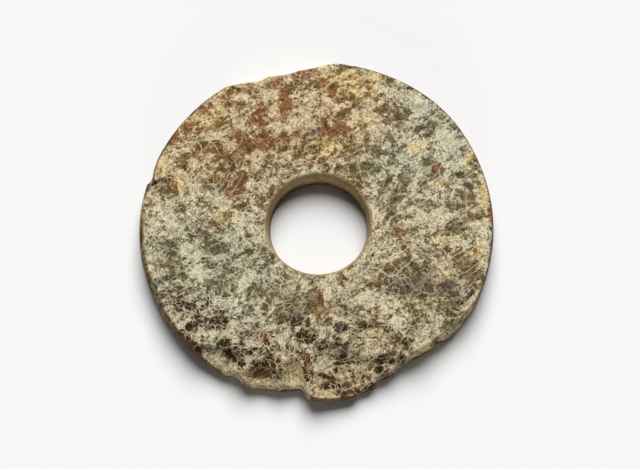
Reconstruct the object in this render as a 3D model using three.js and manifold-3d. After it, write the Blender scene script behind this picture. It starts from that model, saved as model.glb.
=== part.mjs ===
// A jade bi: a flat ritual disc of mottled stone with a round hole through its middle.
// It is one solid piece. The rim was ground round by hand, the hole was drilled from both
// faces with a tube drill, and long burial left the rim broken and flaked along one side.
//
// Millimetres, +Z up. The disc lies on its flat underside, with the origin on that underside
// at the centre of its rim. Angles are in degrees, anticlockwise from +X, seen from above.

import * as THREE from "three";
import { mergeVertices } from "three/addons/utils/BufferGeometryUtils.js";
import Module from "manifold-3d";

const wasm = await Module();
wasm.setup();

// The ground disc.
const DISC_RADIUS = 95;
const DISC_THICKNESS = 14;
const FACE_FALL = 0.7; // how far the upper face falls away from the middle to the rim
const RIM_BULGE = 0.5; // how far the middle of the rim stands out past its two edges
const UPPER_ARRIS = 1.3; // rounding between the upper face and the rim
const UNDER_ARRIS = 0.9; // rounding between the underside and the rim
const ARRIS_STEPS = 3;
const DISC_SIDES = 110;
const FACE_RINGS = [0.82, 0.6, 0.3]; // where the upper face's curve is divided, as shares of the radius

// Hand grinding left the rim a little out of round, with low swells.
const SWELLS = [
  { at: 184, spread: 24, rise: 1.2 },
  { at: 44, spread: 20, rise: 1.5 },
  { at: 8, spread: 16, rise: 0.45 },
  { at: 212, spread: 16, rise: 0.35 },
];

// The hole. It was drilled with a taper, most of the way from the upper face and then from the
// underside, and the two drillings meet at a low ridge.
const HOLE_OFFSET = { x: 0.5, y: 0.6 };
const UPPER_MOUTH_RADIUS = 28.1;
const UNDER_MOUTH_RADIUS = 26.9;
const RIDGE_RADIUS = 26.1;
const RIDGE_HEIGHT = 2.4;
const DRILL_MISMATCH = { x: 0.5, y: -0.3 }; // the lower drilling's centre from the upper one's
const MOUTH_WEAR = 0.5; // bevel worn round each mouth
const HOLE_SIDES = 80;

// Breaks that run through the rim. Each corner of a break is an angle, how far inside the rim it
// lies at the underside, and how far inside at the upper face. Between the two the broken face
// curves: a bend of 1 is straight, and more keeps it upright below and lays it back above.
const BREAKS = [
  {
    name: "far side",
    bend: 3,
    corners: [
      [81, -0.4, -0.4], [88, 1.6, 3.0], [92, 3.3, 4.4], [96, 3.7, 5.6], [99.5, 4.7, 6.6],
      [103.5, 3.1, 6.8], [107.5, 2.2, 6.5], [110, 3.5, 7.0], [113, 2.6, 6.2], [116, 1.9, 3.8],
      [120, 0.6, 2.0], [125, -0.4, -0.4],
    ],
  },
  {
    name: "left notch",
    bend: 1,
    corners: [[151, -0.4, -0.3], [158, 0.2, 1.0], [163, 1.2, 1.9], [164.6, 1.0, 1.8], [165.6, -0.4, -0.2]],
  },
  {
    name: "near left slope and ledge",
    bend: 1,
    corners: [
      [229.4, -0.4, -0.3], [230.6, -0.3, 0.6], [231.8, -0.4, 1.4], [234, -0.4, 1.8], [236.4, -0.4, 1.2],
      [238.6, 0.2, 1.6], [240.4, 1.8, 3.2], [241.9, 2.9, 4.2], [243.6, 1.9, 3.4], [245.6, 0.1, 1.6],
      [248, 0.5, 1.6], [251.5, 2.5, 3.4], [257, 4.0, 4.8], [261, 5.3, 6.0], [264.4, 6.8, 7.2],
      [265.5, 5.0, 5.8], [266.4, 2.4, 3.2], [267.8, 0.6, 1.4], [269.2, -0.4, 0.2],
    ],
  },
  {
    name: "near right",
    bend: 1,
    corners: [
      [281.6, -0.4, 0.2], [284.8, 2.2, 2.6], [288.6, 2.1, 2.8], [290, 4.0, 4.6], [291, 6.0, 6.5],
      [295.4, 5.2, 5.7], [300.5, 7.2, 7.8], [305, 7.2, 8.0], [309.5, 5.7, 6.7], [312.4, 4.6, 6.2],
      [315.4, 6.0, 7.4], [316.8, 4.6, 5.6], [318.2, 2.9, 3.9], [322.2, 2.1, 2.9], [324.2, 1.0, 1.9],
      [327.5, 1.5, 2.6], [331.5, 0.6, 1.5], [335, -0.4, -0.3],
    ],
  },
];
const BREAK_STEP = 1.7; // degrees between stations along a break
const BREAK_ROWS = 5;
const BREAK_ROUGHNESS = 0.45;

// Flake scars that run out at the rim: the angle, the reach inwards from the rim, the width along
// it, and how far the scar has dropped below the upper face where it meets the rim. The scoop is
// its height over that drop: near 1 gives it a steep edge and a flat floor.
const SCARS = [
  { name: "broad flake", at: 283.5, reach: 30, width: 60, drop: 6.6, scoop: 2.6 },
  { name: "broad flake's far shelf", at: 293, reach: 32, width: 44, drop: 2.0, scoop: 1.15 },
  { name: "tongue", at: 262.1, reach: 21.5, width: 15, drop: 6.4, scoop: 2.6 },
  { name: "slope's hollow", at: 235.5, reach: 11, width: 27, drop: 4.8, scoop: 2.6 },
  { name: "ledge's hollow", at: 251.5, reach: 13, width: 30, drop: 5.2, scoop: 2.6 },
  { name: "right hollow", at: 300, reach: 12.5, width: 26, drop: 4.8, scoop: 2.4 },
  { name: "right rim spall", at: 320.5, reach: 7.5, width: 22, drop: 3.4, scoop: 2.2 },
  { name: "lower left chip", at: 202, reach: 3.2, width: 24, drop: 2.2, scoop: 1.8 },
  { name: "saw mark", at: 171, reach: 19.5, width: 25, drop: 0.9, scoop: 1.2 },
];
const SCAR_ROUGHNESS = 0.08;
const SCAR_FACET = 3; // about the size of a facet on a scar, between the two limits below
const SCAR_DETAIL_LEAST = 4;
const SCAR_DETAIL_MOST = 10;

// Looks of the stone, as an average of its mottling.
const JADE_COLOUR = 0x9d9176;
const JADE_ROUGHNESS = 0.55;

const OVERSHOOT = 1.5; // how far each cutting shape runs past the stone
const radians = THREE.MathUtils.degToRad;

// Unevenness of broken stone at a place, between about -1 and 1, and the same at every run.
function unevenness(x, y, z) {
  const broad = Math.sin(0.31 * x + 1.7 * Math.sin(0.23 * y) + 0.4 * z);
  const middle = Math.sin(0.83 * y - 0.57 * x + 1.3 * Math.sin(0.61 * z + 0.2 * x));
  const fine = Math.sin(1.9 * x + 2.3 * z) * Math.cos(1.7 * y - 1.1 * z);
  return 0.5 * broad + 0.3 * middle + 0.2 * fine;
}

// How far the ground rim lies from the centre at an angle, before anything broke off.
function rimRadius(angle) {
  return SWELLS.reduce((radius, { at, spread, rise }) => {
    const apart = THREE.MathUtils.euclideanModulo(angle - at + 180, 360) - 180;
    return radius + rise * Math.exp(-((apart / spread) ** 2));
  }, DISC_RADIUS);
}

// Height of the upper face at a distance from the centre.
function upperFace(radius) {
  return DISC_THICKNESS - FACE_FALL * (radius / DISC_RADIUS) ** 2;
}

// A closed geometry as a solid, with only its positions kept.
function solidOf(geometry) {
  geometry.deleteAttribute("normal");
  geometry.deleteAttribute("uv");
  const merged = mergeVertices(geometry, 1e-4);
  return new wasm.Manifold(
    new wasm.Mesh({
      numProp: 3,
      vertProperties: merged.attributes.position.array,
      triVerts: new Uint32Array(merged.index.array),
    }),
  );
}

// Moves every vertex of a geometry to where a function puts it.
function reshape(geometry, place) {
  const position = geometry.attributes.position;
  const vertex = new THREE.Vector3();
  for (let i = 0; i < position.count; i += 1) {
    vertex.fromBufferAttribute(position, i);
    place(vertex);
    position.setXYZ(i, vertex.x, vertex.y, vertex.z);
  }
  return geometry;
}

// A lathed solid about +Z, from a profile of distance and height that starts and ends on the axis.
function turned(profile, sides) {
  const points = profile.map(([distance, height]) => new THREE.Vector2(distance, height));
  return new THREE.LatheGeometry(points, sides).rotateX(Math.PI / 2);
}

// The disc as it was ground: flat below, slightly domed above, with a rounded and bulging rim.
function groundDisc() {
  const shoulder = DISC_RADIUS - RIM_BULGE;
  const rimTop = upperFace(DISC_RADIUS);
  const quarter = (step) => (step / ARRIS_STEPS) * (Math.PI / 2);
  const steps = [...Array(ARRIS_STEPS + 1).keys()];
  const under = steps.map((step) => [
    shoulder - UNDER_ARRIS * (1 - Math.sin(quarter(step))),
    UNDER_ARRIS * (1 - Math.cos(quarter(step))),
  ]);
  const upper = steps.map((step) => [
    shoulder - UPPER_ARRIS * (1 - Math.cos(quarter(step))),
    rimTop - UPPER_ARRIS * (1 - Math.sin(quarter(step))),
  ]);
  const face = FACE_RINGS.map((share) => [share * DISC_RADIUS, upperFace(share * DISC_RADIUS)]);
  const profile = [
    [0, 0],
    ...under,
    [DISC_RADIUS, rimTop / 2],
    ...upper,
    ...face,
    [0, DISC_THICKNESS],
  ];
  const disc = turned(profile, DISC_SIDES);
  return reshape(disc, (vertex) => {
    const angle = THREE.MathUtils.radToDeg(Math.atan2(vertex.y, vertex.x));
    const grow = rimRadius(angle) / DISC_RADIUS;
    vertex.x *= grow;
    vertex.y *= grow;
  });
}

// One drilling: a tapered plug that narrows from a mouth in one face to the ridge and a little past it.
function drilling(mouthHeight, mouthRadius, centre) {
  const taper = (mouthRadius - RIDGE_RADIUS) / (mouthHeight - RIDGE_HEIGHT);
  const outward = Math.sign(mouthHeight - RIDGE_HEIGHT);
  const outer = mouthHeight + outward * OVERSHOOT;
  const inner = RIDGE_HEIGHT - outward * OVERSHOOT;
  const radiusAt = (height) => RIDGE_RADIUS + taper * (height - RIDGE_HEIGHT);
  const low = Math.min(outer, inner);
  const high = Math.max(outer, inner);
  const plug = turned([[0, low], [radiusAt(low), low], [radiusAt(high), high], [0, high]], HOLE_SIDES);
  return plug.translate(centre.x, centre.y, 0);
}

// The worn bevel round one mouth of the hole.
function mouthBevel(mouthHeight, mouthRadius, centre) {
  const outward = mouthHeight > RIDGE_HEIGHT ? 1 : -1;
  const ends = [
    [mouthRadius - OVERSHOOT, mouthHeight - outward * (MOUTH_WEAR + OVERSHOOT)],
    [mouthRadius + MOUTH_WEAR + OVERSHOOT, mouthHeight + outward * OVERSHOOT],
  ].sort((a, b) => a[1] - b[1]);
  const bevel = turned([[0, ends[0][1]], ...ends, [0, ends[1][1]]], HOLE_SIDES);
  return bevel.translate(centre.x, centre.y, 0);
}

// Splits the stretches between a break's corners into short stations.
function stations(corners) {
  const made = [corners[0]];
  corners.slice(1).forEach((corner, i) => {
    const from = corners[i];
    const count = Math.ceil((corner[0] - from[0]) / BREAK_STEP);
    for (let k = 1; k <= count; k += 1) {
      made.push(corner.map((value, j) => THREE.MathUtils.lerp(from[j], value, k / count)));
    }
  });
  return made;
}

// What a break takes away: a curved slab round the rim whose inner side is the rough broken face.
function breakCut({ corners, bend }) {
  const along = stations(corners);
  const length = along.length - 1;
  const low = -OVERSHOOT;
  const high = DISC_THICKNESS + OVERSHOOT;
  const slab = new THREE.BoxGeometry(length, 1, BREAK_ROWS, length, 1, BREAK_ROWS);
  return reshape(slab, (vertex) => {
    const [angle, underDepth, upperDepth] = along[Math.round(vertex.x + length / 2)];
    const height = THREE.MathUtils.lerp(low, high, vertex.z / BREAK_ROWS + 0.5);
    const share = Math.max(height / DISC_THICKNESS, 0) ** bend;
    const turn = radians(angle);
    const rim = rimRadius(angle);
    const rough = BREAK_ROUGHNESS * unevenness(rim * turn, height, underDepth);
    const broken = rim - THREE.MathUtils.lerp(underDepth, upperDepth, share) + rough;
    const distance = vertex.y > 0 ? broken : rim + RIM_BULGE + OVERSHOOT;
    vertex.set(distance * Math.cos(turn), distance * Math.sin(turn), height);
  });
}

// What a flake takes away: an uneven scoop centred on the rim, cut off by the upper face.
function scarCut({ at, reach, width, drop, scoop }) {
  const height = drop * scoop;
  const opening = Math.sqrt(1 - ((height - drop) / height) ** 2);
  const detail = THREE.MathUtils.clamp(Math.round(width / SCAR_FACET), SCAR_DETAIL_LEAST, SCAR_DETAIL_MOST);
  const turn = radians(at);
  const rim = rimRadius(at);
  const ball = new THREE.IcosahedronGeometry(1, detail);
  reshape(ball, (vertex) => {
    const rough = 1 + SCAR_ROUGHNESS * unevenness(6 * vertex.x + at, 6 * vertex.y, 4 * vertex.z);
    vertex.set(
      (vertex.x * rough * reach) / opening,
      (vertex.y * rough * width) / 2 / opening,
      vertex.z * rough * height,
    );
  });
  const lift = upperFace(rim) - drop + height;
  return ball.rotateZ(turn).translate(rim * Math.cos(turn), rim * Math.sin(turn), lift);
}

// The broken disc as one solid.
function biDisc() {
  const upperCentre = HOLE_OFFSET;
  const lowerCentre = { x: HOLE_OFFSET.x + DRILL_MISMATCH.x, y: HOLE_OFFSET.y + DRILL_MISMATCH.y };
  const mouthHeight = upperFace(UPPER_MOUTH_RADIUS);
  const cuts = [
    drilling(mouthHeight, UPPER_MOUTH_RADIUS, upperCentre),
    drilling(0, UNDER_MOUTH_RADIUS, lowerCentre),
    mouthBevel(mouthHeight, UPPER_MOUTH_RADIUS, upperCentre),
    mouthBevel(0, UNDER_MOUTH_RADIUS, lowerCentre),
    ...BREAKS.map(breakCut),
    ...SCARS.map(scarCut),
  ];
  return cuts.reduce((disc, cut) => disc.subtract(solidOf(cut)), solidOf(groundDisc()));
}

// A solid as a geometry with flat faces.
function geometryOf(solid) {
  const { numProp, vertProperties, triVerts } = solid.getMesh();
  const positions = new Float32Array((vertProperties.length / numProp) * 3);
  for (let i = 0; i < positions.length / 3; i += 1) {
    positions.set(vertProperties.subarray(i * numProp, i * numProp + 3), i * 3);
  }
  const geometry = new THREE.BufferGeometry();
  geometry.setAttribute("position", new THREE.BufferAttribute(positions, 3));
  geometry.setIndex(new THREE.BufferAttribute(new Uint32Array(triVerts), 1));
  geometry.computeVertexNormals();
  return geometry;
}

const jade = new THREE.MeshStandardMaterial({
  color: JADE_COLOUR,
  roughness: JADE_ROUGHNESS,
  metalness: 0,
});
const disc = new THREE.Mesh(geometryOf(biDisc()), jade);
disc.name = "bi_disc";

const bi = new THREE.Group();
bi.add(disc);

export default bi;
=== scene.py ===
import math

import bmesh
import bpy
import numpy as np
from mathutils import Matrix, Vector, noise


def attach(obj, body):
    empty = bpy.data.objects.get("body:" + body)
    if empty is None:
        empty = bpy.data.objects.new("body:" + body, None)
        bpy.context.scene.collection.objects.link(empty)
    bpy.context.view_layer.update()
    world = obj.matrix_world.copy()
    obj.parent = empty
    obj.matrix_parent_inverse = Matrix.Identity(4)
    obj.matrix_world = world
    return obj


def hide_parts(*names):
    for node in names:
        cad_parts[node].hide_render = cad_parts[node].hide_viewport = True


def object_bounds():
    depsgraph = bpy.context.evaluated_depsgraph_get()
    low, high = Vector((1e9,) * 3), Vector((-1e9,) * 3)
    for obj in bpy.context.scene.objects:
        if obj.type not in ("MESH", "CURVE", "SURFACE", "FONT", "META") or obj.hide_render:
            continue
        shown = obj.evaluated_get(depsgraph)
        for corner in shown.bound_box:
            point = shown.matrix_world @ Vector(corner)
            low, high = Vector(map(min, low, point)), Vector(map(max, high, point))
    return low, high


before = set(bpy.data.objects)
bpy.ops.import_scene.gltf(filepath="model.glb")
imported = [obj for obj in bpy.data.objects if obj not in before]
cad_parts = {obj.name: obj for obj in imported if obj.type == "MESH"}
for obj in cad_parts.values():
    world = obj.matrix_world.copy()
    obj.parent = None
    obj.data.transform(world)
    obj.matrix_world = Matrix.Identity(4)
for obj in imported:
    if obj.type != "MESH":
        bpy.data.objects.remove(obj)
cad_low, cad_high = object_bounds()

scene = bpy.context.scene
scene.view_settings.view_transform = "Standard"

# The viewpoint: looking down on the disc as it lies, with a long lens, so that the far wall of
# the hole shows and the near one doesn't.
LENS = 119.5
SENSOR = 36.0
VIEW_HEIGHT = math.radians(73.0)
VIEW_DISTANCE = 1.14
VIEW_TARGET = Vector((0.0015, -0.0054, cad_high.z))

camera = bpy.data.objects.new("camera", bpy.data.cameras.new("camera"))
camera.data.lens = LENS
camera.data.sensor_width = SENSOR
view_back = Vector((0, -math.cos(VIEW_HEIGHT), math.sin(VIEW_HEIGHT)))
camera.location = VIEW_TARGET + VIEW_DISTANCE * view_back
camera.rotation_mode = "QUATERNION"
camera.rotation_quaternion = (-view_back).to_track_quat("-Z", "Y")
scene.collection.objects.link(camera)
scene.camera = camera


# The disc: one slab of nephrite, sawn, ground round and rubbed smooth, with a hole drilled from
# both faces. Burial turned much of it cream along a web of cracks, and the rim later broke and
# flaked along its near side. It is made from the frame's own solid, given a finer skin.
MM = 0.001
SKIN_CELL = 0.82 * MM
MERGED_WITHIN = 0.001 * MM
WORN_PASSES = 3
RIM_RADIUS = 95.0
MIDDLE_HEIGHT = 14.0
FACE_FALL = 0.7
HOLE_CENTRE = (0.6, 0.5)
RIDGE_RADIUS = 26.1
RIDGE_HEIGHT = 2.4
HOLE_TAPER = 0.175

# Where the ground rim bulges: the angle and how far the bulge spreads, both in degrees, and how
# far it stands out.
RIM_SWELLS = ((184, 24, 1.2), (44, 20, 1.5), (8, 16, 0.45), (212, 16, 0.35))

# How quickly the stone's finer lumps grow weaker, and how much finer each kind is than the last.
LUMP_FALL = 0.8
LUMP_STEP = 2.1


def smooth_step(low, high, value):
    """0 at low and 1 at high, with a smooth rise between them."""
    share = np.clip((value - low) / (high - low), 0.0, 1.0)
    return share * share * (3.0 - 2.0 * share)


def rim_radius(angle):
    """The ground rim's distance from the middle at each angle, in degrees, before it broke."""
    radius = np.full_like(angle, RIM_RADIUS)
    for at, spread, rise in RIM_SWELLS:
        apart = (angle - at + 180.0) % 360.0 - 180.0
        radius += rise * np.exp(-((apart / spread) ** 2))
    return radius


def stone_noise(points, size, octaves):
    """Fractal noise at each point, with its broadest lumps about size millimetres across."""
    return np.array(
        [noise.fractal(Vector(point) / size, LUMP_FALL, LUMP_STEP, octaves) for point in points]
    )


def skin_of(node, name):
    """A new piece with the shape of a solid, but an even skin of small faces."""
    piece = bpy.data.objects.new(name, node.data.copy())
    scene.collection.objects.link(piece)
    shell = bmesh.new()
    shell.from_mesh(piece.data)
    bmesh.ops.remove_doubles(shell, verts=shell.verts, dist=MERGED_WITHIN)
    shell.to_mesh(piece.data)
    shell.free()
    remesh = piece.modifiers.new("skin", "REMESH")
    remesh.mode = "VOXEL"
    remesh.voxel_size = SKIN_CELL
    bpy.context.view_layer.update()
    finished = bpy.data.meshes.new_from_object(
        piece.evaluated_get(bpy.context.evaluated_depsgraph_get())
    )
    piece.modifiers.clear()
    piece.data = finished
    finished.name = name
    return piece


def worn_edges(piece, passes):
    """Rounds off the sharp edges of a piece by easing each point towards its neighbours."""
    shell = bmesh.new()
    shell.from_mesh(piece.data)
    for _ in range(passes):
        bmesh.ops.smooth_vert(
            shell, verts=shell.verts, factor=0.5, use_axis_x=True, use_axis_y=True, use_axis_z=True
        )
    shell.to_mesh(piece.data)
    shell.free()


disc = skin_of(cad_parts["bi_disc"], "jade_disc")
worn_edges(disc, WORN_PASSES)
count = len(disc.data.vertices)
points = np.empty(count * 3)
disc.data.vertices.foreach_get("co", points)
points = points.reshape(-1, 3) / MM
normals = np.empty(count * 3)
disc.data.vertex_normals.foreach_get("vector", normals)
normals = normals.reshape(-1, 3)

# How deep each point lies below the faces that were ground, and from there how broken it is. The
# belt of stone round the hole never broke.
HOLE_BELT = 6.0
BROKEN_FROM = 0.55
BROKEN_FULL = 1.25

x, y, z = points.T
radius = np.hypot(x, y)
angle = np.degrees(np.arctan2(y, x))
to_rim = rim_radius(angle) - radius
to_upper = MIDDLE_HEIGHT - FACE_FALL * (radius / RIM_RADIUS) ** 2 - z
to_hole = np.hypot(x - HOLE_CENTRE[0], y - HOLE_CENTRE[1]) - RIDGE_RADIUS
to_hole -= HOLE_TAPER * np.abs(z - RIDGE_HEIGHT)
depth = np.where(to_hole < HOLE_BELT, 0.0, np.min([to_rim, to_upper, z], axis=0))
broken = smooth_step(BROKEN_FROM, BROKEN_FULL, depth)

# Broken faces are rough, in low lumps that lie in layers, and the arrises are nibbled. Nothing
# moves outwards. The nibbles take their noise from another place, so that it isn't the same.
LUMP_SIZE = 7.0
LAYERING = (1.0, 1.0, 2.4)
BROKEN_ROUGHNESS = 0.55
ROUGH_MIDDLE = 0.6
ROUGH_SWING = 0.8
NIBBLE_SIZE = 4.5
NIBBLE_PLACE = 40.0
NIBBLE_SHARES = (0.15, 0.75)
NIBBLE_DEPTH = 0.7
ARRIS_REACH = 2.6
ARRIS_CORE = 0.5

rough = stone_noise(points * LAYERING, LUMP_SIZE, octaves=4)
nibble = smooth_step(*NIBBLE_SHARES, stone_noise(points + NIBBLE_PLACE, NIBBLE_SIZE, octaves=3))
near_wall = smooth_step(ARRIS_REACH, ARRIS_CORE, to_rim)
near_face = smooth_step(ARRIS_REACH, ARRIS_CORE, np.minimum(to_upper, z))
inward = broken * BROKEN_ROUGHNESS * (ROUGH_MIDDLE + ROUGH_SWING * rough).clip(0.0)
inward += (1.0 - broken) * (near_wall * near_face) * NIBBLE_DEPTH * nibble
points = points - normals * inward[:, None]
points = np.clip(points, np.array(cad_low) / MM, np.array(cad_high) / MM)
disc.data.vertices.foreach_set("co", (points * MM).ravel())
disc.data.polygons.foreach_set("use_smooth", [True] * len(disc.data.polygons))
disc.data.update()

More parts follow.
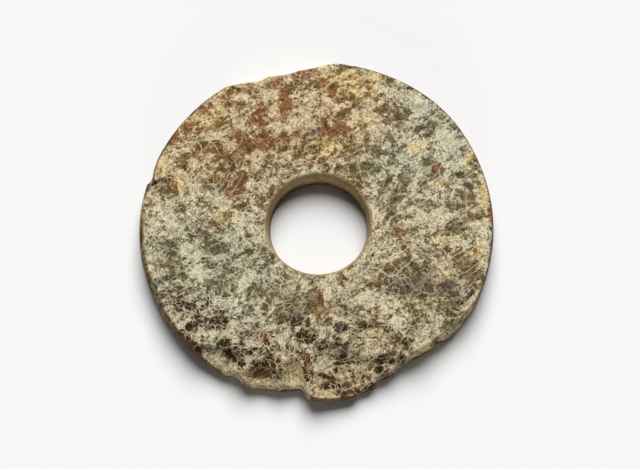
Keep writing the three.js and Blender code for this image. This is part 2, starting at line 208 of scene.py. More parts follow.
# Where the stone is stained, turned pale or bare, by kind, and last the broad zones: millimetres
# right of the middle and away from the broken side, half the length, half the width, and the turn
# of the length in degrees.
STAINS = {
    "russet": (
        (-62, 67, 5, 3, 35), (-72, 56, 2.5, 2, 40), (-78, 50, 3.5, 1.8, 60), (-62, 55, 4, 1.6, 10),
        (-68, 57, 5, 2, 40), (-54, 42.5, 5, 1.6, 10), (-43, 49, 4, 4, 0), (-50, 73, 3, 3, 0),
        (-36, 76, 5, 2, -20), (-42, 70, 3, 2, 0), (-6, 87, 6, 3.2, 15), (-24, 82, 5, 3, 10),
        (-18, 77, 2.5, 5, 0), (-17, 66.5, 2.8, 6, 0), (-22.5, 60, 3, 1.6, 15), (-31, 66, 3, 4.5, 0),
        (-30.5, 57, 1.5, 4, 0), (-30, 48, 4.8, 5, 0), (-15, 51, 5.5, 2.6, 10), (-21, 48, 3, 2, 0),
        (5, 53, 8, 2.8, 0), (2, 69.5, 2, 2, 0), (10, 77, 4.5, 3, 0), (11, 55, 3, 3, 0),
        (-1, 36, 6, 2.5, 10), (16, 54, 2, 2, 0), (65.5, 32, 3.5, 2.6, -15), (52.5, 14, 2, 1.5, 0),
        (93.5, 6, 1.3, 7, 5), (45, -5, 3.5, 2.5, 0), (1, -45, 1.8, 5, 0), (7, -49.5, 4, 1.8, 0),
        (43, -62, 2, 3, 0), (16, -92.5, 4, 1.5, -8), (-30, -62, 4.5, 3.4, -10), (-29, -82, 4, 1, 5),
        (-5.5, -77, 1.5, 6, -5), (-31, -81.5, 5, 1.8, 0), (-90, -28, 2, 3, 10),
        (-80, -54, 1.2, 5, 40), (-76, 19, 1.5, 4, 15), (-71, 22, 1.6, 1.3, 0), (-45, 20, 6, 5, 15),
        (-55, 0.5, 5, 1.2, 8), (-94.5, -4, 1, 7, 0),
    ),
    "ochre": (
        (-53, 67, 4, 6, 0), (-66, 61, 4, 3, 0), (-60, 61, 7, 5, 0), (-86, 34, 5, 6, 0),
        (-84, 28, 6, 2.5, 0), (-58, 39, 2.5, 1.3, 10), (-13, 47, 2, 2.5, 0), (10, 84, 12, 3.5, 0),
        (19, 86, 5, 4, 0), (22, 80, 9, 7, 0), (24, 73, 4, 3, 0), (31, 86, 4, 4, 0), (28, 60, 4, 3, 0),
        (4, 43, 6, 6, 0), (54, 44, 5, 4, 0), (83, 37, 4, 5, 0), (70, -8, 7, 2, 0), (90, 17, 3, 7, 10),
        (69, -28, 3.5, 3, 0), (70, -24.5, 3, 1.2, 0), (86, -15, 3, 4, 0), (20, -62, 11, 1.6, 20),
        (30, -60, 6, 1.6, 5), (-50, 5, 6, 4, 20), (-79, -53, 1.2, 6, 40), (-74, 25, 2, 4, 30),
        (66, 23, 4, 3, 0), (-25, -88, 14, 2, 0), (-9, -80, 4, 8, 0),
    ),
    "dark": (
        (-45, 77, 4, 2, 10), (-49, 69, 2.5, 3, 0), (-54, 57, 2, 3, 0), (-72, 39, 5, 1.8, 15),
        (-62, 44, 3.5, 3, 0), (-56, 46.5, 4.5, 2, 0), (-52, 36.5, 3.5, 3, 0), (-43, 38.5, 2.5, 2.5, 0),
        (-38, 46, 3, 4, 0), (-66, 49, 6, 1.5, 0), (-47, 33, 5, 3, 20), (-60, 25, 4, 2, 20),
        (-46, 24, 8, 3, 25), (-83, 20, 6, 2.2, 15), (-80, 24, 3.5, 2, -50), (-58, 2.5, 6, 1.5, 15),
        (-49, 5, 4, 2.5, 20), (-78, -14, 5, 5, 0), (-57, -12, 6, 4, 0), (-63, -6, 5, 2, 10),
        (-44, -2, 3, 2.5, 0), (-88, -8, 3, 2, 0), (-61, -22, 2.5, 3, 0), (-56, -23, 3, 3, 0),
        (-48, -23, 3, 4, 0), (-57, -32, 3, 2.5, 0), (-46, -32, 2.5, 2, 0), (-52, -36, 4, 2, 40),
        (-73, -42, 3.5, 2.5, 0), (-85, -22, 3, 2, 0), (-75, -27, 4, 3, 0), (-90, -33, 1.6, 6, 20),
        (-53, -54, 5, 3, 0), (-67, -57, 4, 2.5, 20), (-66, -66, 9, 2, -45), (-44, -71, 5, 3, -20),
        (-49, -65, 4, 2, 20), (-37, -46, 3, 2, 0), (-12, -52, 4, 3.5, 0), (-13, -44, 5, 4, -20),
        (-7, -41, 6, 3, -10), (-17, -40, 2, 5, 30), (-8, -62, 3.5, 2.5, 10), (-5, -46, 4, 3, 0),
        (-31, -81.5, 5, 1.8, 0), (-27, -75, 3, 2, 0), (-21, -79, 2.4, 5, 5),
        (-5.5, -77, 1.5, 6, -5), (-58, -77, 4, 1, -20), (35, 65.5, 3, 2.5, 0),
        (27.5, 73.5, 2, 1.6, 0), (32.5, 72, 1.3, 1.3, 0), (40, 83, 2.5, 1.4, -30),
        (44, 66, 3.5, 2.2, 0), (51, 65, 3, 1.4, 0), (49, 61, 9, 1.3, 0), (57, 56, 5, 2, 0),
        (61, 57, 3.5, 4, 0), (64, 65, 2.2, 1.3, 30), (57, 76, 10, 1.3, -38), (62, 52, 3, 2, 0),
        (16.5, 45.5, 4, 4.2, 0), (27, 48, 2, 4, 0), (32, 43, 2.5, 6, 0), (26, 32, 8, 4, 5),
        (61.5, 33, 4.5, 4.5, 0), (63, 26.5, 3, 3, 35), (57, 23, 3, 2.6, 0), (47, 26, 3, 4, 0),
        (48, 14, 5, 3, 30), (60, 12, 3.2, 1.8, 0), (71, 9, 2.5, 4.5, 15), (78, 27.5, 3, 2, -60),
        (82, 22, 3, 1.6, -40), (78.5, 18, 1.6, 3, 0), (83, 15, 2, 3, 0), (84, 5, 5.5, 2.5, -30),
        (75, 0.5, 3, 1.6, -20), (48, 4.5, 3.5, 2, 0), (43, 12, 5, 7, 0), (15, 73, 3, 1.6, -20),
        (15, 65, 4, 2, 20), (13, 56, 3, 2.5, 0), (65, -12.5, 2, 1.6, 0), (60, -17, 7, 3, -15),
        (75, -16.5, 2.2, 1.4, 0), (50, -24, 9, 4, -10), (57, -27, 8, 5, 0), (52, -34, 19, 8, 0),
        (70, -36, 5, 3.8, 0), (79, -25, 6, 5, 0), (84, -32, 5, 3, 35), (64, -48.5, 2, 1.6, 0),
        (48, -44, 4, 2, 0), (60, -44, 3, 2, 60), (73, -45, 3, 2.5, 0), (4, -54, 4, 2, 0),
        (13, -57, 3.5, 3.5, 0), (3, -66, 4, 2.5, 0), (10, -66, 4, 1.2, 30), (25, -55.5, 4, 2, -20),
        (32, -55.5, 2.5, 1.3, 20), (14, -72.5, 1.8, 5, 28), (37, -73, 5, 2.6, 0), (44, -73.5, 3, 2.2, 20),
        (34, -79, 3.5, 2, 0), (37, -82.5, 4, 1.4, 22), (28, -87.5, 3.5, 1.6, 10), (22, -74, 4, 1.2, 5),
        (8, -87.5, 7, 1.3, 5), (14, -91.5, 6, 1.8, -8), (10, -77, 1.5, 3, 0), (4, -82, 5, 1.2, -10),
        (81, -38.8, 8, 1.0, 48), (-85.5, 25.6, 6, 0.9, 25),
    ),
    "violet": (
        (-4, 51, 6, 2.8, 35), (27, 81.5, 3, 2.2, 0), (38, 47, 4.5, 5.5, -30), (46, 45, 5, 2.5, -25),
        (37, -73, 5, 2.6, 0), (-43, -71, 4, 3, -20), (-12, -52, 4, 3.5, 0), (50, -33, 14, 6, 0),
        (13, -57, 3, 3, 0), (70, -35, 6, 5, 0),
    ),
    "cream": (
        (-58, 51, 6, 2.2, 0), (-67, 34, 4.5, 2.6, 0), (-73, 30, 5, 2, 0), (-45, 73, 3, 2, 0),
        (-3, 75, 7, 4.5, 0), (-8, 63, 2.6, 2.6, 0), (4, 72.5, 2.2, 2.6, 0), (4, 65, 2.6, 2.6, 0),
        (-24, 65, 2.6, 4, 0), (-19, 56, 8, 3, 0), (6, 90.5, 5, 2, 0), (-38, 73, 3, 2, 0),
        (44, 74, 8, 6, -20), (25, 63, 7, 4, 0), (55, 69, 6, 4, -35), (34, 78, 5, 3, 0),
        (70, 45, 8, 10, 0), (54, 44, 6, 5, 0), (66, 23, 5, 4, 0), (74, 34, 5, 4, 0), (66, 5, 6, 4, 0),
        (88, 0, 4, 5, 0), (-85, 11, 6, 4, 0), (-87, -1, 4, 4, 0), (-66, -14, 6, 5, 0), (-43, 4, 3, 6, 0),
        (-63, -27, 5, 5, 0), (-73, -56, 4, 3.5, 0), (-36, -30, 6, 5, 0), (-48, -44, 10, 4, 0),
        (28, -66.5, 7.5, 5, 0), (5, -93, 7, 4.5, 0), (2, -76, 5, 4, 0), (-33, -66, 5, 2, 0),
        (-19, -64, 6, 3.5, 0), (-27, -86, 10, 2.5, 0), (-50, -78, 9, 4, -20), (-9, -81, 4, 8, 0),
        (38, -43, 7, 4, 0), (28, -42, 5, 5, 0), (88, -9, 3, 4, 0), (75, -10, 8, 4, 0),
        (42, -55, 3, 5, 40), (-68, 19, 1.4, 8, 12), (-73.5, 18, 1.1, 7, 14), (-80, -49, 1.6, 8, 55),
        (84.5, -41.5, 8, 1.5, 48),
    ),
    "bare": (
        (-51, -77, 10, 4.5, -25), (-29, -88, 13, 3, 0), (-13, -82, 5, 9, 0), (20, -62, 11, 1.8, 20),
        (-39, -84.5, 4.5, 5, 0), (2, -94, 6, 3.5, 0), (28, -65.5, 7, 4, 10),
        (31, -60.5, 7, 1.8, 5), (83, -47, 8, 3, 60), (53, -70, 12, 2, 38),
        (-33, 84, 10, 2, 12), (-6, -93, 2, 5, 0),
    ),
    "webbed": ((-52, -40, 48, 42, 0), (0, -78, 60, 26, 0), (55, -45, 30, 26, 0), (-30, 30, 30, 16, 25)),
    # The deep zones: the stone's own darkest parts, a crack and a saw mark, and partly painted shade that
    # darkens the near side.
    "deep": (
        (0, -85, 75, 32, 0), (-60, -62, 30, 22, -40), (81, -38.8, 10, 3.5, 48),
        (-85.5, 25.6, 8, 3, 25),
    ),
    "warm": ((-45, 60, 60, 35, 20), (5, 65, 40, 30, 0), (0, -85, 55, 14, 0)),
    "cool": ((-60, -35, 45, 45, 0), (60, 50, 40, 35, 0), (20, -75, 20, 14, 0)),
}

# The underside takes its stains more weakly, and they reach their full strength at this height.
UNDERSIDE_SHARE = 0.6
FULL_STAIN_HEIGHT = 9.0


def stain_amount(stains):
    """How strongly any of the stains shows at each point: one half at the edge of a stain."""
    amount = np.zeros(count)
    for across, away, half_length, half_width, turn in stains:
        cosine = math.cos(math.radians(turn))
        sine = math.sin(math.radians(turn))
        along = (x - across) * cosine + (y - away) * sine
        beside = (y - away) * cosine - (x - across) * sine
        spread = (along / half_length) ** 2 + (beside / half_width) ** 2
        amount = np.maximum(amount, 0.5 ** spread)
    raised = smooth_step(0.0, FULL_STAIN_HEIGHT, z)
    return amount * (UNDERSIDE_SHARE + (1.0 - UNDERSIDE_SHARE) * raised)


def store(name, values):
    """Keeps one number for each point of the disc under a name that its material reads."""
    disc.data.attributes.new(name, "FLOAT", "POINT").data.foreach_set(
        "value", values.astype(np.float32)
    )


for kind, stains in STAINS.items():
    store(kind, stain_amount(stains))
store("broken", broken)

# The dark brown skin, and painted shade in its colours: a ragged band on the rim's wall, widest at
# the left, partly skin and partly a painted shadow line; painted shade at the foot of every wall
# but the hole's; and the hole, with painted shade below its ridge, so it is palest in its upper part.
BAND_WIDTH = 1.3
BAND_GAIN = 1.3
BAND_WIDEST_AT = 190.0
BAND_SPREAD = 32.0
BAND_RAGGED = 0.7
BAND_EDGE = (0.6, -0.4)
WALL_TILTS = (0.25, 0.6)
FOOT_CLEAR_OF_HOLE = (2.0, HOLE_BELT)
FOOT_TOP = 3.4
FOOT_CORE = 1.4
BORE_EDGE = (1.6, 0.5)
SHADE_FADES_ABOVE_RIDGE = (1.0, 5.0)

# The rim band is partly the stone's dark skin and partly a painted shadow line along the edge.
from_widest = (angle % 360.0 - BAND_WIDEST_AT) / BAND_SPREAD
band = BAND_WIDTH + BAND_GAIN * np.exp(-(from_widest ** 2)) + BAND_RAGGED * rough
store("wall", smooth_step(band + BAND_EDGE[0], band + BAND_EDGE[1], to_rim) * (1.0 - broken))
# Painted shade low on every side wall but the hole's, where it meets the floor, in the skin's colours.
sideways = smooth_step(*WALL_TILTS, 1.0 - np.abs(normals[:, 2]))
sideways = sideways * smooth_step(*FOOT_CLEAR_OF_HOLE, to_hole)
store("foot", smooth_step(FOOT_TOP + rough, FOOT_CORE, z) * sideways)
store("bore", smooth_step(*BORE_EDGE, to_hole))
# The hole's wall is dark below its ridge as painted shade, fading out upwards.
above_ridge = z + rough - RIDGE_HEIGHT
store("drilled", smooth_step(*SHADE_FADES_ABOVE_RIDGE, above_ridge))


def wire(tree, kind, inputs, output=0, **settings):
    """Adds a node with its settings, links or sets its inputs, and gives back one output."""
    made = tree.nodes.new(kind)
    for name, value in settings.items():
        setattr(made, name, value)
    for name, value in inputs.items():
        if isinstance(value, bpy.types.NodeSocket):
            tree.links.new(value, made.inputs[name])
        else:
            made.inputs[name].default_value = value
    return made.outputs[output]


def maths(tree, operation, first, second=0.0, third=0.0):
    """One sum of numbers that change over the surface."""
    return wire(tree, "ShaderNodeMath", {0: first, 1: second, 2: third}, operation=operation)


def times(tree, first, second):
    """The product of two numbers that change over the surface."""
    return maths(tree, "MULTIPLY", first, second)


def larger(tree, first, second):
    """The larger of two numbers at each place."""
    return maths(tree, "MAXIMUM", first, second)


def summed(tree, start, *parts):
    """A start value with a share of each part added to it."""
    total = start
    for part, share in parts:
        total = maths(tree, "MULTIPLY_ADD", part, share, total)
    return total


def ramp_up(tree, value, low, high, bottom=0.0, top=1.0, curve="SMOOTHSTEP"):
    """A rise from bottom to top as value goes from low to high, eased at both ends or straight."""
    inputs = {"Value": value, "From Min": low, "From Max": high, "To Min": bottom, "To Max": top}
    return wire(tree, "ShaderNodeMapRange", inputs, interpolation_type=curve)


def by_share(tree, share, at_none, at_full):
    """A number that goes from one value to another as a mask goes from 0 to 1."""
    return ramp_up(tree, share, 0.0, 1.0, at_none, at_full)


def scaled(tree, vector, strength):
    """A vector or a colour made smaller or larger all through."""
    return wire(tree, "ShaderNodeVectorMath", {0: vector, "Scale": strength}, operation="SCALE")


def shifted(tree, place, reach, scale, detail, roughness):
    """Coordinates moved about by noise, by up to about half of reach."""
    waves = {"Vector": place, "Scale": scale, "Detail": detail, "Roughness": roughness}
    wave = wire(tree, "ShaderNodeTexNoise", waves, "Color")
    middle = {0: wave, 1: (0.5, 0.5, 0.5)}
    centred = wire(tree, "ShaderNodeVectorMath", middle, operation="SUBTRACT")
    both = {0: place, 1: scaled(tree, centred, reach)}
    return wire(tree, "ShaderNodeVectorMath", both, operation="ADD")


def vein_web():
    """A node group: pale cracks between cells of one size, waved by noise, fading in and out."""
    wave_share = 1.7
    fade_share = 0.6
    fade_edge = (0.44, 0.62)
    least_width = 0.001
    vein_edge = (1.0, 0.4)
    group = bpy.data.node_groups.new("vein_web", "ShaderNodeTree")
    group.interface.new_socket("Position", in_out="INPUT", socket_type="NodeSocketVector")
    for name in ("Cell", "Width", "Wave"):
        group.interface.new_socket(name, in_out="INPUT", socket_type="NodeSocketFloat")
    group.interface.new_socket("Vein", in_out="OUTPUT", socket_type="NodeSocketFloat")
    given = group.nodes.new("NodeGroupInput").outputs
    place = given["Position"]
    scale = maths(group, "DIVIDE", 1.0, given["Cell"])
    reach = times(group, given["Wave"], given["Cell"])
    wave_scale = times(group, scale, wave_share)
    waved = shifted(group, place, reach, wave_scale, detail=4.0, roughness=0.75)
    cells = {"Vector": waved, "Scale": scale}
    edge = wire(group, "ShaderNodeTexVoronoi", cells, "Distance", feature="DISTANCE_TO_EDGE")
    patches = {"Vector": place, "Scale": times(group, scale, fade_share), "Detail": 3.0}
    strength = ramp_up(group, wire(group, "ShaderNodeTexNoise", patches), *fade_edge)
    width = maths(group, "MULTIPLY_ADD", given["Width"], strength, least_width)
    nearness = maths(group, "DIVIDE", edge, width)
    vein = times(group, ramp_up(group, nearness, *vein_edge), strength)
    taken = group.nodes.new("NodeGroupOutput")
    group.links.new(vein, taken.inputs["Vein"])
    return group


veins = vein_web()


def web(tree, place, cell, width, wave=0.45):
    """The vein web at one cell size in millimetres."""
    made = tree.nodes.new("ShaderNodeGroup")
    made.node_tree = veins
    tree.links.new(place, made.inputs["Position"])
    made.inputs["Cell"].default_value = cell
    made.inputs["Width"].default_value = width
    made.inputs["Wave"].default_value = wave
    return made.outputs["Vein"]


def grain(tree, place, size, detail, roughness):
    """Noise around zero whose broadest lumps are about size millimetres across."""
    inputs = {"Vector": place, "Scale": 1.0 / size, "Detail": detail, "Roughness": roughness}
    return maths(tree, "SUBTRACT", wire(tree, "ShaderNodeTexNoise", inputs), 0.5)


def crystals(tree, place, size):
    """Angular grains, each lighter or darker by a chance of its own, around zero."""
    tone = wire(tree, "ShaderNodeTexVoronoi", {"Vector": place, "Scale": 1.0 / size}, "Color")
    return maths(tree, "SUBTRACT", wire(tree, "ShaderNodeSeparateColor", {0: tone}), 0.5)


def specks(tree, place, apart):
    """Small round spots, half of them left out, about as far apart as given."""
    spot_edge = (0.34, 0.2)
    left_out = (0.45, 0.6)
    cells = {"Vector": place, "Scale": 1.0 / apart}
    made = wire(tree, "ShaderNodeTexVoronoi", cells, "Distance").node
    chance = wire(tree, "ShaderNodeSeparateColor", {0: made.outputs["Color"]})
    spot = ramp_up(tree, made.outputs["Distance"], *spot_edge)
    return times(tree, spot, ramp_up(tree, chance, *left_out))


def stretched(tree, place, turn, length):
    """Coordinates in which a pattern comes out longer along one way across the disc."""
    inputs = {"Vector": place, "Rotation": (0, 0, math.radians(turn)), "Scale": (length, 1, 1)}
    return wire(tree, "ShaderNodeMapping", inputs, vector_type="TEXTURE")


def stone_places(tree):
    """Coordinates in millimetres: plain, drifting, and drawn out along two ways that cross."""
    metres = tree.nodes.new("ShaderNodeTexCoord").outputs["Object"]
    plain = scaled(tree, metres, 1.0 / MM)
    drifting = shifted(tree, plain, reach=9.0, scale=0.045, detail=1.0, roughness=0.5)
    slanted = stretched(tree, drifting, turn=38.0, length=1.9)
    crossed = stretched(tree, drifting, turn=-40.0, length=1.3)
    return {"plain": plain, "drifting": drifting, "slanted": slanted, "crossed": crossed}


def stored(tree, kind):
    """One of the numbers kept for each point of the disc."""
    return wire(tree, "ShaderNodeAttribute", {}, "Fac", attribute_name=kind)


# How soft the edge of each kind of stain is, and where the broad zones begin and are full.
STAIN_SOFTNESS = {
    "cream": 0.2, "dark": 0.2, "russet": 0.2, "violet": 0.25, "ochre": 0.35, "bare": 0.2,
}
ZONE_EDGES = {"deep": (0.2, 0.8), "cool": (0.3, 0.8), "warm": (0.3, 0.8)}
WEBBED_EDGE = (0.3, 0.7)
STAIN_REACH = (0.05, 0.3)


def stone_marks(tree, place):
    """The stone's unevenness from coarse to fine, and a mask for each zone and kind of stain."""
    mark = {
        "clouds": grain(tree, place["drifting"], size=14.0, detail=4.0, roughness=0.74),
        "mottle": grain(tree, place["slanted"], size=3.2, detail=2.4, roughness=0.75),
        "speckle": grain(tree, place["plain"], size=1.2, detail=0.6, roughness=0.7),
        "fine_shade": summed(
            tree,
            0.0,
            (crystals(tree, place["plain"], size=0.9), 1.1),
            (grain(tree, place["plain"], size=1.0, detail=0.0, roughness=0.5), 1.6),
        ),
    }
    for kind, edge in ZONE_EDGES.items():
        mark[kind] = ramp_up(tree, stored(tree, kind), *edge)
    webbed = summed(tree, stored(tree, "webbed"), (mark["clouds"], 1.2))
    mark["webbed"] = ramp_up(tree, webbed, *WEBBED_EDGE)

    # The edge of a stain is broken up by the stone's own mottling.
    ragged = summed(tree, 0.0, (mark["clouds"], 1.4), (mark["mottle"], 1.6), (mark["speckle"], 0.9))
    for kind, softness in STAIN_SOFTNESS.items():
        placed = stored(tree, kind)
        broken_up = summed(tree, placed, (ragged, 1.0))
        mask = ramp_up(tree, broken_up, 0.5 - softness, 0.5 + softness)
        mark[kind] = times(tree, mask, ramp_up(tree, placed, *STAIN_REACH))
    return mark


# How far the plain stone has turned on the whole, before its clouds, grains and stains.
EVEN_TURN = 0.42


def turned_amount(tree, place, mark):
    """How far the stone has turned pale, from 0, fresh and dark, to 1, in clouds and grains."""
    # The deep zones make the dark stains darker, partly as painted shade.
    darkened = by_share(tree, mark["deep"], -0.34, -0.58)
    left_over = by_share(tree, mark["webbed"], -0.6, -0.25)
    return summed(
        tree,
        EVEN_TURN,
        (mark["clouds"], 1.5),
        (mark["warm"], -0.05),
        (mark["mottle"], 1.6),
        (mark["speckle"], 0.5),
        (crystals(tree, place["slanted"], size=4.4), 0.4),
        (crystals(tree, place["crossed"], size=2.3), 0.4),
        (crystals(tree, place["plain"], size=1.2), 0.3),
        (mark["webbed"], -0.1),
        (mark["cream"], 0.4),
        (mark["dark"], darkened),
        (mark["russet"], -0.38),
        (mark["violet"], -0.16),
        (mark["ochre"], 0.14),
        (specks(tree, place["plain"], apart=2.1), left_over),
    )


def vein_amount(tree, place, mark):
    """The veins: a few long ones everywhere, and a fine mesh in patches where it is webbed."""
    long_slanted = web(tree, place["slanted"], cell=11.0, width=0.026)
    long_crossed = web(tree, place["crossed"], cell=6.4, width=0.044)
    fine_slanted = web(tree, place["slanted"], cell=4.0, width=0.07)
    fine_crossed = web(tree, place["crossed"], cell=2.2, width=0.11)
    fine_share = by_share(tree, mark["webbed"], 0.35, 0.9)
    fine = times(tree, larger(tree, fine_slanted, fine_crossed), fine_share)
    vein = larger(tree, larger(tree, long_slanted, long_crossed), fine)
    vein = times(tree, vein, by_share(tree, mark["dark"], 0.72, 0.55))
    return times(tree, vein, by_share(tree, mark["violet"], 1.0, 0.6))


def colour(red, green, blue):
    """A colour given in screen values, turned by a screen's standard curve into the shader's linear
    light.
    """
    parts = [part / 255.0 for part in (red, green, blue)]
    return [((p + 0.055) / 1.055) ** 2.4 if p > 0.04 else p / 12.92 for p in parts] + [1.0]


def blend(tree, share, first, second):
    """A colour between two, by share."""
    return wire(
        tree, "ShaderNodeMix", {"Factor": share, 6: first, 7: second}, 2, data_type="RGBA"
    )


# The fresh stone is brown to olive and the turned stone cream to greenish. Each zone or stain draws
# them towards a colour of its own, by the share given.
FRESH_BROWN = colour(106, 85, 48)
FRESH_OLIVE = colour(101, 89, 54)
FRESH_TINTS = (
    ("cool", 1.0, colour(100, 91, 64)),
    ("warm", 0.75, colour(118, 82, 40)),
    ("ochre", 0.7, colour(142, 105, 46)),
    ("russet", 0.8, colour(124, 76, 40)),
    ("violet", 0.8, colour(88, 72, 62)),
)
# Near-black for the deep zones: partly the stone's own blackened marks, partly painted shade.
BLACKENED_AND_SHADED = colour(46, 22, 8)
CREAM = colour(195, 179, 145)
GREENISH_CREAM = colour(186, 179, 149)
CLEAREST_CREAM = colour(224, 211, 179)
TURNED_TINTS = (
    ("cool", 1.0, colour(186, 181, 155)),
    ("warm", 0.6, colour(197, 170, 126)),
    ("ochre", 0.7, colour(206, 179, 114)),
    ("russet", 0.4, colour(184, 145, 108)),
    # In the deep zones the cream is dimmer, partly as painted shade.
    ("deep", 0.6, colour(180, 165, 136)),
)
HALFWAY_SHARE = 0.42
VEIN_CREAM = colour(212, 202, 170)
VEIN_TINTS = (
    # In the deep zones the veins are dimmer, partly as painted shade.
    ("deep", 1.0, colour(206, 194, 164)),
    ("warm", 0.5, colour(216, 194, 148)),
)


def tinted(tree, tone, tints, mark):
    """A colour drawn towards others wherever their zones and stains are."""
    for kind, share, tint in tints:
        tone = blend(tree, times(tree, mark[kind], share), tone, tint)
    return tone


def mottled_colour(tree, place, mark, pale, vein):
    """The colour of the ground faces: fresh, half-turned or turned stone, and veins over it."""
    shade = summed(
        tree,
        0.0,
        (crystals(tree, place["crossed"], size=3.0), 0.8),
        (grain(tree, place["slanted"], size=2.4, detail=1.0, roughness=0.7), 1.6),
    )
    fresh_shade = summed(tree, shade, (mark["fine_shade"], 0.8))
    fresh_shade = ramp_up(tree, fresh_shade, -0.75, 0.75, bottom=0.42, top=1.6, curve="LINEAR")
    # Fresh stone is dimmer in the deep zones, partly as painted shade.
    fresh_shade = times(tree, fresh_shade, by_share(tree, mark["deep"], 1.0, 0.72))
    pale_shade = summed(tree, mark["fine_shade"], (shade, 0.6))
    pale_shade = ramp_up(tree, pale_shade, -0.6, 0.6, bottom=0.56, top=1.4, curve="LINEAR")

    hue_noise = grain(tree, place["drifting"], size=9.0, detail=5.0, roughness=0.7)
    hue = ramp_up(tree, hue_noise, -0.12, 0.12)
    fresh = tinted(tree, blend(tree, hue, FRESH_BROWN, FRESH_OLIVE), FRESH_TINTS, mark)
    fresh = scaled(tree, fresh, fresh_shade)
    turned = tinted(tree, blend(tree, hue, CREAM, GREENISH_CREAM), TURNED_TINTS, mark)
    turned = scaled(tree, turned, pale_shade)
    turned = blend(tree, ramp_up(tree, pale_shade, 1.0, 1.3, top=0.5), turned, CLEAREST_CREAM)
    halfway = blend(tree, HALFWAY_SHARE, fresh, turned)

    # Blackening in the deep zones: partly the stone's own, partly painted shade on the near side.
    blackened_and_shaded = by_share(tree, mark["deep"], 0.25, 0.95)
    blackened_and_shaded = times(tree, blackened_and_shaded, by_share(tree, mark["russet"], 1.0, 0.3))
    darkest = blend(tree, blackened_and_shaded, fresh, BLACKENED_AND_SHADED)
    stone = blend(tree, ramp_up(tree, pale, -0.06, 0.2), darkest, fresh)
    stone = blend(tree, ramp_up(tree, pale, 0.22, 0.28), stone, halfway)
    stone = blend(tree, ramp_up(tree, pale, 0.44, 0.52), stone, turned)
    return blend(tree, vein, stone, tinted(tree, VEIN_CREAM, VEIN_TINTS, mark))


# The bare tan: partly the paleness of fresh breaks, partly painted light brightening broken faces that
# turn away from the lamp behind.
BARE_DARK_AND_LIT = colour(146, 123, 86)
BARE_PALE_AND_LIT = colour(212, 197, 157)
BARE_SHARE = 0.85
CHIPPED_SHARE = 0.12


def bare_and_lit_breaks(tree, stone, mark):
    """Where it broke clean the stone is bare and tan, with hardly a vein; the tan is partly its own
    paleness and partly painted light on faces turned from the lamp behind.
    """
    tan_share = ramp_up(tree, summed(tree, mark["mottle"], (mark["speckle"], 0.8)), -0.16, 0.16)
    tan = blend(tree, tan_share, BARE_DARK_AND_LIT, BARE_PALE_AND_LIT)
    tan_shade = ramp_up(tree, mark["fine_shade"], -0.6, 0.6, bottom=0.7, top=1.25, curve="LINEAR")
    tan = scaled(tree, tan, tan_shade)
    chipped = times(tree, stored(tree, "broken"), CHIPPED_SHARE)
    bared = larger(tree, times(tree, mark["bare"], BARE_SHARE), chipped)
    bared = times(tree, bared, ramp_up(tree, mark["dark"], 0.2, 0.9, bottom=1.0, top=0.1))
    return blend(tree, bared, stone, tan)


# The skin's colours, also used for the painted shade low on the walls and along the rim.
SKIN_AND_SHADE_DARK = colour(44, 27, 10)
SKIN_AND_SHADE_LIGHT = colour(122, 86, 44)
# The hole's dark colour is painted shade on its wall below the ridge.
HOLE_PAINTED_SHADE = colour(52, 38, 22)
HOLE_PALE = colour(164, 136, 92)
SKIN_AND_SHADE_SHARE = 0.8


def brown_skin_and_shade(tree, stone, mark):
    """The rim's wall and the hole keep a dark brown skin, partly painted shade: low on the walls, along
    the rim and below the hole's ridge.
    """
    skin = blend(tree, ramp_up(tree, mark["mottle"], -0.12, 0.16), SKIN_AND_SHADE_DARK, SKIN_AND_SHADE_LIGHT)
    # The skin and the painted shade: the rim band and the low part of the walls.
    skin_and_shade_mask = larger(tree, stored(tree, "wall"), stored(tree, "foot"))
    stone = blend(tree, times(tree, skin_and_shade_mask, SKIN_AND_SHADE_SHARE), stone, skin)
    # The hole: its own pale colour above the ridge, and painted shade below it.
    drilled = blend(tree, stored(tree, "drilled"), HOLE_PAINTED_SHADE, HOLE_PALE)
    return blend(tree, times(tree, stored(tree, "bore"), SKIN_AND_SHADE_SHARE), stone, drilled)


# How rough the stone is: nearly polished where it is fresh, duller where it has turned, and matte
# where it broke.
ROUGHNESS = {"fresh": 0.48, "turned": 0.62, "broken": 0.8}
SPECULAR = 0.05
RELIEF_DEPTH = 0.2 * MM
RELIEF_STRENGTH = 0.5


def jade_material(name):
    """The mottled stone: pale veins and clouds over dark olive, stained, polished and broken."""
    material = bpy.data.materials.new(name)
    material.use_nodes = True
    tree = material.node_tree
    shader = tree.nodes["Principled BSDF"]

    place = stone_places(tree)
    mark = stone_marks(tree, place)
    pale = turned_amount(tree, place, mark)
    vein = vein_amount(tree, place, mark)
    stone = mottled_colour(tree, place, mark, pale, vein)
    stone = bare_and_lit_breaks(tree, stone, mark)
    stone = brown_skin_and_shade(tree, stone, mark)
    tree.links.new(stone, shader.inputs["Base Color"])

    ground = ramp_up(tree, pale, 0.2, 0.8, ROUGHNESS["fresh"], ROUGHNESS["turned"])
    matte = times(tree, stored(tree, "broken"), ROUGHNESS["broken"])
    tree.links.new(larger(tree, ground, matte), shader.inputs["Roughness"])
    shader.inputs["Specular IOR Level"].default_value = SPECULAR
    relief = summed(tree, 0.0, (mark["speckle"], 0.6), (pale, -0.2))
    bump = {"Height": relief, "Strength": RELIEF_STRENGTH, "Distance": RELIEF_DEPTH}
    tree.links.new(wire(tree, "ShaderNodeBump", bump), shader.inputs["Normal"])
    return material


disc.data.materials.clear()
disc.data.materials.append(jade_material("mottled_jade"))
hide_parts("bi_disc")
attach(disc, "root")


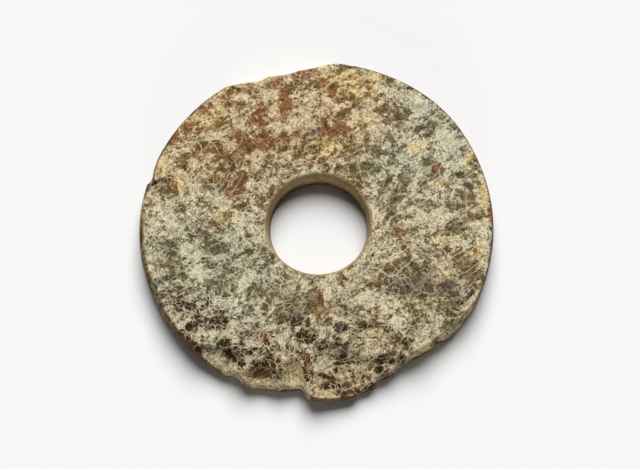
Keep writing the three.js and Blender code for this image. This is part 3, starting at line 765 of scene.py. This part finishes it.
# The floor: a wide plain sheet of pale paper that the disc lies on. It is a hair lower than the
# disc's underside, so that the two never share one height.
FLOOR_HALF = 3.0
FLOOR_DROP = 0.0002
FLOOR_COLOUR = (0.87, 0.87, 0.87, 1.0)
FLOOR_ROUGHNESS = 0.9

floor_shape = bmesh.new()
bmesh.ops.create_grid(floor_shape, x_segments=1, y_segments=1, size=FLOOR_HALF)
bmesh.ops.translate(floor_shape, verts=floor_shape.verts, vec=(0, 0, -FLOOR_DROP))
floor_mesh = bpy.data.meshes.new("floor")
floor_shape.to_mesh(floor_mesh)
floor_shape.free()
floor = bpy.data.objects.new("floor", floor_mesh)
scene.collection.objects.link(floor)
paper = bpy.data.materials.new("pale_floor")
paper.use_nodes = True
paper_shader = paper.node_tree.nodes["Principled BSDF"]
paper_shader.inputs["Base Color"].default_value = FLOOR_COLOUR
paper_shader.inputs["Roughness"].default_value = FLOOR_ROUGHNESS
floor_mesh.materials.append(paper)


# The light: a wide soft key stands behind, so that the shadow falls towards the viewer. A weak
# lamp low in front lights the walls that face the viewer, but hardly the floor inside the hole,
# and the room itself is nearly dark.
ROOM_COLOUR = (1.0, 1.0, 1.0, 1.0)
ROOM_STRENGTH = 0.04


def lamp(name, way, height, spread, strength):
    """A far soft lamp: the way it shines from, its height in degrees and how wide it looks."""
    made = bpy.data.objects.new(name, bpy.data.lights.new(name, "SUN"))
    made.data.angle = math.radians(spread)
    made.data.energy = strength
    level = math.cos(math.radians(height)) * Vector(way).normalized()
    made.location = level + Vector((0, 0, math.sin(math.radians(height))))
    made.rotation_mode = "QUATERNION"
    made.rotation_quaternion = made.location.to_track_quat("Z", "Y")
    scene.collection.objects.link(made)


lamp("key_light", (0.06, 1, 0), height=46, spread=44, strength=4.33)
lamp("front_light", (0, -1, 0), height=12, spread=14, strength=0.6)

room = bpy.data.worlds.new("room")
scene.world = room
room.use_nodes = True
background = room.node_tree.nodes["Background"]
background.inputs["Color"].default_value = ROOM_COLOUR
background.inputs["Strength"].default_value = ROOM_STRENGTH
